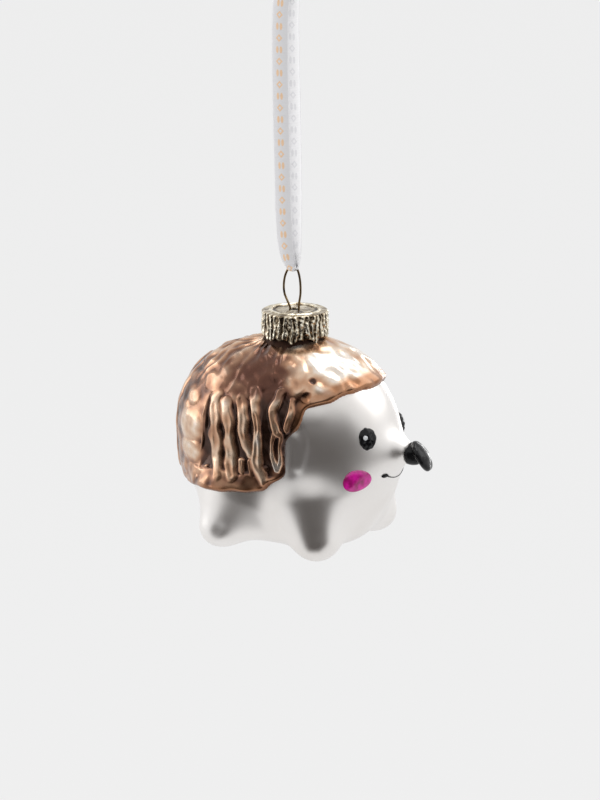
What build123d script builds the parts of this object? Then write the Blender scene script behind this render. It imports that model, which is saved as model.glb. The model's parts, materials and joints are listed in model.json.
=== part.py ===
from build123d import *
import os
import numpy as np

# A blown-glass hedgehog ornament on a ribbon loop, in millimetres.
# +X runs to the nose, +Y to the animal's left, +Z up. The origin is the inside top of the ribbon
# loop, where a branch or a hook takes it. Heights named here are measured up from the feet.

# Glass form: the round back
back_x = -4.8
back_z = 30.5
back_half_length = 27.9
back_half_width = 20.3
back_rise = 22.2
back_depth = 25.0
back_top_power = 2.1
back_under_power = 3.2

# Glass form: the head
head_x = 7.2
head_z = 26.5
head_half_length = 23.6
head_half_width = 18.8
head_half_height = 26.6

# Glass form: the skirt that joins the legs
skirt_x = 1.6
skirt_z = 10.2
skirt_half_length = 18.4
skirt_half_width = 18.6
skirt_half_height = 9.2
skirt_power = 4.0

# Glass form: legs and feet
front_foot_x = 15.6
rear_foot_x = -13.6
foot_y = 17.2
foot_radius = 4.4
leg_top_z = 13.0
leg_top_radius = 7.0
leg_lean = 3.0

# Glass form: the snout
snout_root_x = 24.0
snout_root_z = 25.8
snout_root_radius = 7.6
snout_tip_x = 31.8
snout_tip_z = 27.2
snout_tip_radius = 3.3

# Glass form: how far the masses melt into each other
body_blend = 6.0
leg_blend = 8.0
snout_blend = 5.5

# Glass wall and neck
glass_wall = 1.0
neck_wall = 0.9
neck_top_z = 61.9

# Quill coat: its thickness, and its border seen from the side
coat_thickness = 0.9
border_reach = 23.5
border_height = 45.0
border_shares = [
    (-1.70, 0.293), (-0.80, 0.347), (-0.39, 0.364), (0.06, 0.376), (0.19, 0.444), (0.31, 0.482),
    (0.335, 0.55), (0.33, 0.62), (0.345, 0.71), (0.42, 0.765), (0.48, 0.81), (0.50, 0.86),
    (0.56, 0.90), (0.73, 0.922), (0.83, 0.955), (0.96, 0.978), (1.70, 1.030),
]

# Raised enamel: eyes, cheeks and nose
eye_x = 26.9
eye_z = 32.2
eye_half_width = 2.1
eye_half_height = 2.8
eye_proud = 1.2
cheek_x = 25.6
cheek_z = 21.2
cheek_half_width = 3.75
cheek_half_height = 3.0
cheek_proud = 1.2
nose_droop = 5.0
nose_stem_radius = 2.6
nose_stem_length = 2.75
nose_disc_radius = 4.5
nose_disc_edge = 0.95
nose_disc_crown = 0.35
nose_disc_pitch = 31.0
nose_disc_yaw = 19.0

# Metal cap
cap_radius = 9.0
cap_sheet = 0.3
cap_height = 7.6
cap_flutes = 36
cap_flute_depth = 0.25
cap_tooth_count = 8
cap_tooth_height = 1.2
cap_small_tooth_height = 0.6
cap_ring_radius = 6.6
cap_ring_height = 0.35
cap_ring_width = 0.9

# Spring wire hanger: half widths of its loop and legs, and heights
wire_radius = 0.3
wire_throat = 1.15
wire_hip = 2.6
wire_crown = 1.1
wire_loop_height = 11.3
wire_leg_length = 21.0
hip_height_share = 0.40
shoulder_height_share = 0.76
shoulder_width_share = 0.92
leg_bend_width_share = 0.94

# Satin ribbon
ribbon_width = 4.8
ribbon_thickness = 0.3
ribbon_gather_width = 1.8
ribbon_eye_gap = 0.45
ribbon_drop = 82.0
ribbon_gather_height = 15.0
front_strand_x = -2.2
back_strand_x = 0.6
strand_end_place_share = 0.33
strand_end_width_share = 0.6
knot_radius = 3.4
knot_height = 5.4
knot_depth_share = 0.8
knot_level_share = 0.3
wrap_radius_share = 0.62
wrap_thickness_share = 0.36
wrap_tilt = 78.0
tail_length = 13.0
tail_spread = 3.0

# Clearances, and how far cutting shapes run past what they cut
seat_gap = 0.2
neck_clearance = 0.85
hole_clearance = 0.15
wire_bore_clearance = 0.3
cut_overrun = 5.0

# What follows from the sizes above
cap_top_z = neck_top_z + seat_gap + cap_sheet
cap_base_z = cap_top_z - cap_height
wire_crown_z = cap_top_z + wire_loop_height
feet_level = -(wire_crown_z + ribbon_drop)
neck_radius = cap_radius - cap_sheet - cap_flute_depth - neck_clearance
neck_bore_radius = neck_radius - neck_wall
cap_hole_radius = wire_throat + wire_radius + hole_clearance

# Rings across the length, points round each ring, and how finely the skin is searched for
ring_total, ray_total = 30, 40
search_steps = 30
slope_step_share = 0.01


# The glass form as one formula: below zero inside, zero on the skin

def melt(first, second, blend):
    """The nearer of two forms, rounded over where they meet."""
    near = np.maximum(blend - np.abs(first - second), 0) / blend
    return np.minimum(first, second) - near * near * blend / 4


def round_back(x, y, z):
    above = z > back_z
    lift = np.where(above, (z - back_z) / back_rise, (back_z - z) / back_depth)
    power = np.where(above, back_top_power, back_under_power)
    level = np.sqrt((x - back_x) ** 2 / back_half_length**2 + y**2 / back_half_width**2)
    return ((level**power + lift**power) ** (1 / power) - 1) * back_half_width


def head(x, y, z):
    along, across, up = x - head_x, y, z - head_z
    once = np.sqrt(
        (along / head_half_length) ** 2 + (across / head_half_width) ** 2 + (up / head_half_height) ** 2
    )
    twice = np.sqrt(
        (along / head_half_length**2) ** 2
        + (across / head_half_width**2) ** 2
        + (up / head_half_height**2) ** 2
    )
    return once * (once - 1) / np.maximum(twice, 1 / head_half_height**2)


def skirt(x, y, z):
    shares = (
        np.abs((x - skirt_x) / skirt_half_length) ** skirt_power
        + np.abs(y / skirt_half_width) ** skirt_power
        + np.abs((z - skirt_z) / skirt_half_height) ** skirt_power
    )
    return (shares ** (1 / skirt_power) - 1) * skirt_half_height


def tapered_rod(x, y, z, start, end, start_radius, end_radius):
    run = [last - first for first, last in zip(start, end)]
    length_squared = sum(part * part for part in run)
    gaps = (x - start[0], y - start[1], z - start[2])
    share = np.clip(sum(gap * part for gap, part in zip(gaps, run)) / length_squared, 0, 1)
    distance = np.sqrt(sum((gap - share * part) ** 2 for gap, part in zip(gaps, run)))
    return distance - start_radius - share * (end_radius - start_radius)


def leg(x, y, z, foot_x):
    lean = leg_lean if foot_x > 0 else -leg_lean
    foot = (foot_x, foot_y, foot_radius)
    top = (foot_x - lean, foot_y - leg_lean, leg_top_z)
    return tapered_rod(x, np.abs(y), z, foot, top, foot_radius, leg_top_radius)


def snout(x, y, z):
    root = (snout_root_x, 0, snout_root_z)
    tip = (snout_tip_x, 0, snout_tip_z)
    return tapered_rod(x, y, z, root, tip, snout_root_radius, snout_tip_radius)


def glass_form(points):
    """About how far each point is outside the glass; heights run up from the feet."""
    x, y, z = points[..., 0], points[..., 1], points[..., 2]
    legs = melt(melt(skirt(x, y, z), leg(x, y, z, front_foot_x), leg_blend),
                leg(x, y, z, rear_foot_x), leg_blend)
    trunk = melt(melt(round_back(x, y, z), head(x, y, z), body_blend), legs, body_blend)
    return melt(trunk, snout(x, y, z), snout_blend)


def slope(points):
    """How the form grows along X, Y and Z."""
    step = glass_wall * slope_step_share
    sides = []
    for turn in range(3):
        shift = np.zeros(3)
        shift[turn] = step
        sides.append((glass_form(points + shift) - glass_form(points - shift)) / (step + step))
    return np.stack(sides, -1)


def height_over_glass(points):
    """Distance of each point outside the glass, true near the skin."""
    return glass_form(points) / np.linalg.norm(slope(points), axis=-1)


def reach(starts, directions, proud, longest):
    """Distance along each ray from inside the glass to the skin moved outwards by proud."""
    near = np.zeros(directions.shape[:-1])
    far = np.full(directions.shape[:-1], longest)
    for _ in range(search_steps):
        middle = (near + far) / 2
        outside = height_over_glass(starts + middle[..., None] * directions) > proud
        far = np.where(outside, middle, far)
        near = np.where(outside, near, middle)
    return (near + far) / 2


def to_world(point):
    return Vector(float(point[0]), float(point[1]), float(point[2]) + feet_level)


longest_ray = back_half_length + snout_tip_x
heart = np.array([0.0, 0.0, head_z])
length_axis = np.array([1.0, 0.0, 0.0])


def skin_solid(proud):
    """The glass form moved outwards by proud, as one closed solid through rings across X."""
    rear, front = (heart + side * length_axis * reach(heart, side * length_axis, proud, longest_ray)
                   for side in (-1, 1))
    shares = (1 - np.cos(np.pi * (np.arange(ring_total) + 1 / 2) / ring_total)) / 2
    centres = rear + shares[:, None, None] * (front - rear)
    turns = (np.arange(ray_total) * 2 / ray_total - 1 / 2) * np.pi
    rays = np.stack([np.zeros(ray_total), np.cos(turns), np.sin(turns)], -1)
    rays = np.broadcast_to(rays, (ring_total, ray_total, 3))
    rings = centres + reach(centres, rays, proud, longest_ray)[..., None] * rays
    with BuildPart() as skin:
        for ring in rings:
            with BuildSketch(Plane.YZ.offset(float(ring[0, 0]))):
                with BuildLine():
                    Spline([(float(y), float(z) + feet_level) for x, y, z in ring], periodic=True)
                make_face()
        loft()
    return skin.part


def skin_spot(x, side, z):
    """A point on the glass on one side of the animal, and the direction that it faces."""
    start = np.array([x, 0.0, z])
    outwards = np.array([0.0, side, 0.0])
    spot = start + outwards * reach(start, outwards, 0, longest_ray)
    facing = slope(spot)
    return to_world(spot), Vector(*(float(part) for part in facing))


def facing_plane(spot, facing):
    """A plane on the skin whose X is level and whose normal faces out of the glass."""
    return Plane(origin=spot, x_dir=Vector(0, 0, 1).cross(facing), z_dir=facing)


# Solid glass with its neck, which everything painted on it is seated against

with BuildPart() as glass_block:
    add(skin_solid(0))
    with BuildSketch(Plane.XY.offset(feet_level + head_z)):
        Circle(neck_radius)
    extrude(amount=neck_top_z - head_z)


# Blown glass body: a thin shell, open only at the neck

with BuildPart() as glass_cavity:
    add(skin_solid(-glass_wall))
    with BuildSketch(Plane.XY.offset(feet_level + head_z)):
        Circle(neck_bore_radius)
    extrude(amount=neck_top_z - head_z + cut_overrun)

with BuildPart() as glass_body:
    add(glass_block.part)
    add(glass_cavity.part, mode=Mode.SUBTRACT)


# Quill coat: a raised skin over the back, bordered by a line drawn from the side

with BuildPart() as quill_coat:
    border = [(along * border_reach, up * border_height + feet_level) for along, up in border_shares]
    above = feet_level + cap_top_z
    with BuildSketch(Plane.XZ):
        with BuildLine():
            Spline(border)
            Polyline(border[-1], (border[-1][0], above), (border[0][0], above), border[0])
        make_face()
    extrude(amount=back_half_width + cut_overrun, both=True)
    add(skin_solid(coat_thickness), mode=Mode.INTERSECT)
    add(glass_block.part, mode=Mode.SUBTRACT)


def enamel_bead(x, side, z, half_width, half_height, proud):
    """A dome of enamel seated on one side of the glass."""
    spot, facing = skin_spot(x, side, z)
    dome = scale(Sphere(1), by=(half_width, half_height, proud))
    with BuildPart() as bead:
        with Locations(facing_plane(spot, facing).location):
            add(dome)
        add(glass_block.part, mode=Mode.SUBTRACT)
    return bead


eye_right = enamel_bead(eye_x, -1, eye_z, eye_half_width, eye_half_height, eye_proud)
eye_left = enamel_bead(eye_x, 1, eye_z, eye_half_width, eye_half_height, eye_proud)
cheek_right = enamel_bead(cheek_x, -1, cheek_z, cheek_half_width, cheek_half_height, cheek_proud)
cheek_left = enamel_bead(cheek_x, 1, cheek_z, cheek_half_width, cheek_half_height, cheek_proud)


# Nose: a tilted button of enamel on a short stem over the tip of the snout

nose_root = Vector(snout_tip_x, 0, snout_tip_z + feet_level)
stem_line = Vector(1, 0, 0).rotate(Axis.Y, nose_droop)
disc_line = Vector(1, 0, 0).rotate(Axis.Y, -nose_disc_pitch).rotate(Axis.Z, nose_disc_yaw)
stem_start = (snout_tip_radius**2 - nose_stem_radius**2) ** 0.5
disc_place = nose_root + stem_line * (snout_tip_radius + nose_stem_length + nose_disc_edge)
rim_radius = nose_disc_radius - nose_disc_edge
crown_radius = (rim_radius**2 + nose_disc_crown**2) / (2 * nose_disc_crown)
with BuildPart() as nose:
    with BuildSketch(Plane(origin=nose_root, x_dir=stem_line, z_dir=(0, -1, 0))):
        with BuildLine():
            stem_end = snout_tip_radius + nose_stem_length
            Polyline((stem_start, nose_stem_radius), (stem_end, nose_stem_radius), (stem_end, 0),
                     (snout_tip_radius, 0))
            RadiusArc((snout_tip_radius, 0), (stem_start, nose_stem_radius), -snout_tip_radius)
        make_face()
    revolve(axis=Axis(nose_root, stem_line))
    with BuildSketch(Plane(origin=disc_place, x_dir=disc_line, z_dir=disc_line.cross(Vector(0, 0, 1)))):
        with BuildLine():
            Line((-nose_disc_edge, 0), (-nose_disc_edge, rim_radius))
            ThreePointArc((-nose_disc_edge, rim_radius), (0, nose_disc_radius), (nose_disc_edge, rim_radius))
            RadiusArc((nose_disc_edge, rim_radius), (nose_disc_edge + nose_disc_crown, 0), crown_radius)
            Line((nose_disc_edge + nose_disc_crown, 0), (-nose_disc_edge, 0))
        make_face()
    revolve(axis=Axis(disc_place, disc_line))
    add(glass_block.part, mode=Mode.SUBTRACT)


# Metal cap: a fluted sheet cup with teeth at its hem and a pressed ring round its hole

def fluted_outline(radius):
    """A closed line that waves in and out by the flute depth."""
    turns = [2 * np.pi * step / (4 * cap_flutes) for step in range(4 * cap_flutes)]
    waves = [radius - cap_flute_depth * (1 - np.cos(cap_flutes * turn)) / 2 for turn in turns]
    return [(float(wave * np.cos(turn)), float(wave * np.sin(turn))) for wave, turn in zip(waves, turns)]


with BuildPart() as cap:
    with BuildSketch(Plane.XY.offset(feet_level + cap_base_z)):
        with BuildLine():
            Spline(fluted_outline(cap_radius), periodic=True)
        make_face()
    extrude(amount=cap_height)
    with BuildSketch(Plane.XY.offset(feet_level + cap_base_z)):
        with BuildLine():
            Spline(fluted_outline(cap_radius - cap_sheet), periodic=True)
        make_face()
    extrude(amount=cap_height - cap_sheet, mode=Mode.SUBTRACT)
    with BuildSketch(Plane.XZ):
        with Locations((cap_ring_radius, feet_level + cap_top_z)):
            Ellipse(cap_ring_width / 2, cap_ring_height)
    revolve(axis=Axis.Z)
    with BuildSketch(Plane.XY.offset(feet_level + cap_top_z - cap_sheet - cap_ring_height)):
        Circle(cap_radius - cap_sheet - cap_flute_depth)
    extrude(amount=cap_ring_height, mode=Mode.SUBTRACT)
    with BuildSketch(Plane.XY.offset(feet_level + cap_top_z - cap_sheet)):
        Circle(cap_hole_radius)
    extrude(amount=cap_sheet + cap_ring_height, mode=Mode.SUBTRACT)
    tooth_pitch = 2 * np.pi * cap_radius / cap_tooth_count
    for turn in range(cap_tooth_count):
        outwards = Vector(1, 0, 0).rotate(Axis.Z, (turn + 1 / 2) * 360 / cap_tooth_count)
        with BuildSketch(Plane(origin=(0, 0, 0), x_dir=outwards.cross(Vector(0, 0, 1)), z_dir=outwards)):
            with BuildLine():
                hem = feet_level + cap_base_z
                Polyline((-tooth_pitch / 2, hem), (-tooth_pitch / 4, hem + cap_tooth_height),
                         (0, hem + cap_tooth_height - cap_small_tooth_height),
                         (tooth_pitch / 4, hem + cap_tooth_height), (tooth_pitch / 2, hem),
                         (tooth_pitch / 2, hem - cut_overrun), (-tooth_pitch / 2, hem - cut_overrun),
                         close=True)
            make_face()
        extrude(amount=cap_radius + cut_overrun, mode=Mode.SUBTRACT)


# Hanger: one spring wire, a loop above the cap and two legs down inside the neck

throat_z = feet_level + cap_top_z - cap_sheet / 2
hip_z = feet_level + cap_top_z + wire_loop_height * hip_height_share
shoulder_z = feet_level + cap_top_z + wire_loop_height * shoulder_height_share
crown_z = feet_level + wire_crown_z
leg_spread = neck_bore_radius - wire_bore_clearance - wire_radius
leg_bend_z = throat_z - wire_leg_length / 2
leg_end_z = throat_z - wire_leg_length
half_wire = [
    (leg_spread, leg_end_z), (leg_spread * leg_bend_width_share, leg_bend_z), (wire_throat, throat_z),
    (wire_hip, hip_z), (wire_hip * shoulder_width_share, shoulder_z), (wire_crown, crown_z),
]
wire_points = half_wire + [(-x, z) for x, z in reversed(half_wire)]
with BuildPart() as hanger_wire:
    with BuildLine(Plane.XZ) as wire_line:
        FilletPolyline(wire_points, radius=wire_hip / 2)
    with BuildSketch(Plane(origin=wire_line.line @ 0, z_dir=wire_line.line % 0)):
        Circle(wire_radius)
    sweep()


# Ribbon: two strands that rise from the wire's crown to a knot

fold_inner = wire_radius + ribbon_eye_gap
fold_outer = fold_inner + ribbon_thickness
strand_y = (fold_inner + fold_outer) / 2
fold_box = 2 * fold_outer


def strand(side, strand_x):
    """One strand: half of the fold under the wire, then a flat band that fans out as it rises."""
    with BuildPart() as band:
        with BuildSketch(Plane.YZ):
            with Locations((0, crown_z)):
                Circle(fold_outer)
                Circle(fold_inner, mode=Mode.SUBTRACT)
            with Locations((side * fold_outer, crown_z)):
                Rectangle(fold_box, fold_box, align=(Align.CENTER, Align.MAX), mode=Mode.INTERSECT)
        extrude(amount=ribbon_gather_width / 2, both=True)
        for height, x, width in (
            (0, 0, ribbon_gather_width),
            (ribbon_gather_height, strand_x, ribbon_width),
            (ribbon_drop - ribbon_gather_height / 2, strand_x, ribbon_width),
            (ribbon_drop, strand_x * strand_end_place_share, ribbon_width * strand_end_width_share),
        ):
            with BuildSketch(Plane((x, side * strand_y, crown_z + height))):
                Rectangle(width, ribbon_thickness)
        loft(ruled=True)
    return band


ribbon_front = strand(-1, front_strand_x)
ribbon_back = strand(1, back_strand_x)


# Knot above the loop, flat where the strands enter it, with two cut tails

knot_form = scale(Sphere(1), by=(knot_radius, knot_radius * knot_depth_share, knot_height / 2))
knot_level = knot_height * knot_level_share
with BuildPart() as ribbon_knot:
    with Locations((0, 0, knot_level)):
        add(knot_form)
        Torus(knot_radius * wrap_radius_share, knot_radius * wrap_thickness_share, rotation=(0, wrap_tilt, 0))
    for side in (-1, 1):
        with BuildSketch(Plane((0, 0, knot_level))):
            Rectangle(ribbon_width / 2, ribbon_thickness)
        with BuildSketch(Plane((side * tail_spread, side * strand_y, knot_level + tail_length))):
            Rectangle(ribbon_width, ribbon_thickness)
        loft()
    split(bisect_by=Plane.XY, keep=Keep.TOP)


pieces = {
    "glass_body": glass_body, "quill_coat": quill_coat, "eye_right": eye_right, "eye_left": eye_left,
    "cheek_right": cheek_right, "cheek_left": cheek_left, "nose": nose, "cap": cap,
    "hanger_wire": hanger_wire, "ribbon_front": ribbon_front, "ribbon_back": ribbon_back,
    "ribbon_knot": ribbon_knot,
}
os.makedirs("parts", exist_ok=True)
for name, piece in pieces.items():
    piece.part.label = name
    export_step(piece.part, "parts/" + name + ".step")
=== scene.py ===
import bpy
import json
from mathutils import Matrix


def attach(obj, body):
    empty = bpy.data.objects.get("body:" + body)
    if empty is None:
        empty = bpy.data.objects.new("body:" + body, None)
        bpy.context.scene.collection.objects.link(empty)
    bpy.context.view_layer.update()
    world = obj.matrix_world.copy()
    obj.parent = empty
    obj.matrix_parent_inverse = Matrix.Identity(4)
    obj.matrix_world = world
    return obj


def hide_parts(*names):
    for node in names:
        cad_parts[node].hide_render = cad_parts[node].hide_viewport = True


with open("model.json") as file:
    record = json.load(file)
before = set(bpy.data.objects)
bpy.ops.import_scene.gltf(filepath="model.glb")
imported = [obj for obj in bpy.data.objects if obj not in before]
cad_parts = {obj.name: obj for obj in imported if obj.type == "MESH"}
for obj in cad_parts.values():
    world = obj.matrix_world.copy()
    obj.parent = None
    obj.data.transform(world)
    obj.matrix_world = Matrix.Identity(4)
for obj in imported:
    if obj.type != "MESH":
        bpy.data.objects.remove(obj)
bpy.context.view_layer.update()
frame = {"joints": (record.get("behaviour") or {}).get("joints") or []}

import json
import math

import bmesh
import bpy
import numpy as np
from mathutils import Vector

# A blown-glass hedgehog ornament on its ribbon. The frame is in metres; shapes are worked out in
# millimetres with heights up from the feet, and to_frame turns them into the frame's metres.
MM = 0.001
AHEAD, LEFT, UP = np.eye(3)
wire_loop_height = 11.3
cap_top = 62.4
crown_level = frame["joints"][0]["pos_m"][2] / MM
feet_level = crown_level - wire_loop_height - cap_top


def to_frame(points):
    """Points in millimetres over the feet, as points of the frame in metres."""
    return (np.asarray(points, float) + feet_level * UP) * MM


# Camera at the photograph's angle

camera_turn, camera_lift, camera_distance = -62.0, 14.3, 1.1
camera_target = Vector((0.0012, 0.0006, -0.1183))
photo_height, focal_pixels, sensor_size = 800, 4094.0, 36.0


def add_object(name, data):
    thing = bpy.data.objects.new(name, data)
    bpy.context.scene.collection.objects.link(thing)
    return thing


def direction(turn, lift):
    """Directions by their turn in degrees from +X towards +Y, and their lift over the level."""
    turn, lift = np.radians(turn), np.radians(lift)
    return np.stack([np.cos(turn) * np.cos(lift), np.sin(turn) * np.cos(lift), np.sin(lift)], -1)


def aim(thing, turn, lift, distance):
    """Places a camera, lamp or card round the ornament, facing it."""
    away = Vector(direction(turn, lift))
    thing.location = camera_target + distance * away
    thing.rotation_euler = away.to_track_quat("Z", "Y").to_euler()


def add_camera():
    data = bpy.data.cameras.new("camera")
    data.sensor_width = sensor_size
    data.sensor_fit = "AUTO"
    data.lens = focal_pixels * sensor_size / photo_height
    data.clip_start = 0.01
    camera = add_object("camera", data)
    aim(camera, camera_turn, camera_lift, camera_distance)
    bpy.context.scene.camera = camera


add_camera()


# Mesh helpers

def add_mesh(name, points, faces, material, smooth=True):
    """A new object in the frame's metres from points and faces."""
    mesh = bpy.data.meshes.new(name)
    mesh.from_pydata([tuple(point) for point in points], [], [tuple(face) for face in faces])
    mesh.polygons.foreach_set("use_smooth", [smooth] * len(mesh.polygons))
    mesh.materials.append(material)
    mesh.update()
    return add_object(name, mesh)


def add_values(piece, **named_values):
    """Numbers for each point of a mesh, which its material reads by name."""
    for name, values in named_values.items():
        attribute = piece.data.attributes.new(name, "FLOAT", "POINT")
        attribute.data.foreach_set("value", np.asarray(values, np.float32))


def face_outwards(piece, open_rings=()):
    """Closes a mesh over its open rings of points and turns all its faces outwards."""
    mesh = bmesh.new()
    mesh.from_mesh(piece.data)
    mesh.verts.ensure_lookup_table()
    for ring in open_rings:
        mesh.faces.new([mesh.verts[place] for place in ring])
    bmesh.ops.recalc_face_normals(mesh, faces=mesh.faces)
    mesh.to_mesh(piece.data)
    mesh.free()


def ease(piece, iterations):
    eased = piece.modifiers.new("eased", "SMOOTH")
    eased.factor = 0.5
    eased.iterations = iterations


def thicken(piece, thickness):
    """Gives an open skin a wall on its inner side."""
    wall = piece.modifiers.new("wall", "SOLIDIFY")
    wall.thickness = thickness * MM
    wall.offset = -1


def grid_faces(rows, columns, round_rows=False, round_columns=False):
    """Faces of a grid of points kept row by row; a round side closes on itself."""
    faces = []
    for row in range(rows if round_rows else rows - 1):
        for column in range(columns if round_columns else columns - 1):
            below = (row + 1) % rows
            beside = (column + 1) % columns
            faces.append((row * columns + column, row * columns + beside,
                          below * columns + beside, below * columns + column))
    return faces


def tube_faces(rows, columns):
    """Faces of a tube of rings of points, closed at both ends."""
    last = (rows - 1) * columns
    ends = [tuple(reversed(range(columns))), tuple(range(last, last + columns))]
    return grid_faces(rows, columns, round_columns=True) + ends


def round_turns(count):
    return np.linspace(0, 2 * np.pi, count, endpoint=False)


def circle(count, side=AHEAD, rise=LEFT):
    """Points round a circle of radius 1 that two directions span."""
    turns = round_turns(count)
    return np.cos(turns)[:, None] * side + np.sin(turns)[:, None] * rise


def side_and_rise(facing):
    """The level direction beside a direction, and the rising one square to both."""
    side = np.cross(UP, facing)
    side /= np.linalg.norm(side)
    return side, np.cross(facing, side)


def spline_points(route, resolution=12):
    """Points along the smooth NURBS line of a route."""
    data = bpy.data.curves.new("route", "CURVE")
    data.dimensions = "3D"
    data.resolution_u = resolution
    spline = data.splines.new("NURBS")
    spline.points.add(len(route) - 1)
    for place, point in zip(spline.points, route):
        place.co = (*point, 1.0)
    spline.order_u = 3
    spline.use_endpoint_u = True
    curve = add_object("route", data)
    bpy.context.view_layer.update()
    mesh = bpy.data.meshes.new_from_object(curve.evaluated_get(bpy.context.evaluated_depsgraph_get()))
    points = np.array([vertex.co[:] for vertex in mesh.vertices])
    bpy.data.objects.remove(curve)
    bpy.data.meshes.remove(mesh)
    return points


def evenly(points, count):
    """The same line as a number of evenly spaced points, and how far along each is."""
    steps = np.linalg.norm(np.diff(points, axis=0), axis=1)
    along = np.concatenate([[0.0], np.cumsum(steps)])
    wanted = np.linspace(0.0, along[-1], count)
    return np.stack([np.interp(wanted, along, points[:, part]) for part in range(3)], -1), wanted


def directions_along(points):
    tangents = np.gradient(points, axis=0)
    return tangents / np.linalg.norm(tangents, axis=1, keepdims=True)


def waves(points, length, seed, count=14):
    """A smooth irregular number from about -1 to 1 for each point, with bumps of about that length."""
    draw = np.random.default_rng(seed)
    total = np.zeros(points.shape[0])
    for _ in range(count):
        line = draw.normal(size=3)
        line *= 2 * np.pi / length * draw.uniform(0.55, 1.25) / np.linalg.norm(line)
        total += np.sin(points @ line + draw.uniform(0, 2 * np.pi))
    return total / math.sqrt(count / 2) / 2


def unit(share):
    return np.clip(share, 0, 1)


def soft_step(share):
    share = unit(share)
    return share * share * (3 - 2 * share)


# Materials

class Nodes:
    """Short ways to build the nodes of a material or a world."""

    def __init__(self, owner):
        owner.use_nodes = True
        self.owner, self.tree = owner, owner.node_tree
        self.shader = self.tree.nodes.get("Principled BSDF")
        self.output = self.tree.nodes.get("Material Output")

    def add(self, kind, **settings):
        node = self.tree.nodes.new("ShaderNode" + kind)
        for name, value in settings.items():
            setattr(node, name, value)
        return node

    def feed(self, socket, value):
        """Links a socket to another one, or sets it to a number or colour."""
        if isinstance(value, bpy.types.NodeSocket):
            self.tree.links.new(value, socket)
        else:
            socket.default_value = (*value, 1.0) if isinstance(value, tuple) else value

    def set(self, node, values):
        for name, value in values.items():
            self.feed(node.inputs[name], value)
        return node

    def paint(self, values):
        """Sets the shader of a material, and gives the material."""
        self.set(self.shader, values)
        return self.owner

    def noise(self, scale, detail=3.0):
        where = self.add("TexCoord").outputs["Object"]
        values = {"Vector": where, "Scale": scale, "Detail": detail, "Roughness": 0.55}
        return self.set(self.add("TexNoise"), values).outputs["Fac"]

    def values(self, name):
        """The numbers that add_values gave the mesh."""
        return self.add("Attribute", attribute_name=name).outputs["Fac"]

    def ramp(self, factor, stops):
        """A colour for each factor, from a list of (place, colour) stops."""
        ramp = self.add("ValToRGB")
        while len(ramp.color_ramp.elements) < len(stops):
            ramp.color_ramp.elements.new(0.5)
        for element, (place, colour) in zip(ramp.color_ramp.elements, stops):
            element.position = place
            element.color = (*colour, 1.0)
        return self.set(ramp, {"Fac": factor}).outputs["Color"]

    def mix(self, factor, first, second):
        """Two colours mixed by a factor."""
        mix = self.add("Mix", data_type="RGBA")
        colours = [socket for socket in mix.inputs if socket.type == "RGBA"]
        for socket, value in zip([mix.inputs["Factor"], *colours], (factor, first, second)):
            self.feed(socket, value)
        return [socket for socket in mix.outputs if socket.type == "RGBA"][0]

    def mix_shaders(self, factor, first, second):
        return self.set(self.add("MixShader"), {0: factor, 1: first, 2: second}).outputs["Shader"]

    def spread(self, factor, low, high):
        """A factor of 0 to 1 spread over a range of numbers."""
        values = {"Value": factor, "To Min": low, "To Max": high}
        return self.set(self.add("MapRange"), values).outputs["Result"]

    def math(self, operation, first, second=0.0):
        return self.set(self.add("Math", operation=operation), {0: first, 1: second}).outputs["Value"]

    def off(self, value, middle):
        """How far a number is from a middle one."""
        return self.math("ABSOLUTE", self.math("SUBTRACT", value, middle))

    def stirred(self, value, noise, share):
        """A number with a share of some noise added."""
        return self.math("ADD", value, self.math("MULTIPLY", self.math("SUBTRACT", noise, 0.5), share))

    def bump(self, height, distance, strength):
        values = {"Height": height, "Distance": distance, "Strength": strength}
        return self.set(self.add("Bump"), values).outputs["Normal"]

    def seen(self):
        """1 for what the camera sees directly, mirrored or through glass, and 0 for plain lighting."""
        path = self.add("LightPath").outputs
        either = self.math("MAXIMUM", path["Is Camera Ray"], path["Is Glossy Ray"])
        return self.math("MAXIMUM", either, path["Is Transmission Ray"])


def new_material(name):
    return Nodes(bpy.data.materials.new(name))


def pearl_glass():
    """Silvered glass under a satin pearl lacquer, a little warmer and duller in patches."""
    nodes = new_material("pearl_glass")
    cloudy, fine = nodes.noise(45.0, 4.0), nodes.noise(2600.0, 2.0)
    return nodes.paint({
        "Base Color": nodes.ramp(cloudy, [
            (0.32, (0.84, 0.805, 0.775)), (0.55, (0.91, 0.882, 0.858)), (0.75, (0.94, 0.918, 0.90)),
        ]),
        "Roughness": nodes.spread(cloudy, 0.30, 0.38), "Metallic": 0.93, "Specular IOR Level": 0.5,
        "Coat Weight": 0.10, "Coat Roughness": 0.22, "Normal": nodes.bump(fine, 0.00002, 0.35),
    })


def copper_lacquer(name, gloss):
    """Copper lacquer, its colour following the quill relief: pale on the crests as painted highlight, dark
    between the quills as painted shade.
    """
    nodes = new_material(name)
    cloudy, streaks = nodes.noise(160.0), nodes.noise(620.0)
    tint = nodes.ramp(nodes.stirred(nodes.values("relief"), cloudy, 0.45), [
        (0.12, (0.010, 0.006, 0.005)), (0.27, (0.050, 0.022, 0.015)), (0.42, (0.27, 0.130, 0.075)),
        (0.60, (0.62, 0.36, 0.22)), (0.84, (0.88, 0.67, 0.50)), (1.0, (0.99, 0.91, 0.82)),
    ])
    reddened = nodes.mix(nodes.values("red_patch"), tint, (0.075, 0.024, 0.014))
    browned = nodes.mix(nodes.values("amber"), reddened, (0.42, 0.185, 0.080))
    return nodes.paint({
        "Base Color": nodes.mix(nodes.spread(streaks, 0.0, 0.42), browned, (0.20, 0.09, 0.055)),
        "Roughness": nodes.spread(cloudy, 0.62 - 0.42 * gloss, 0.76 - 0.44 * gloss), "Metallic": 0.88,
        "Coat Weight": 0.3 * gloss, "Coat Roughness": 0.06, "Normal": nodes.bump(streaks, 0.00005, 0.25),
    })


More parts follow.
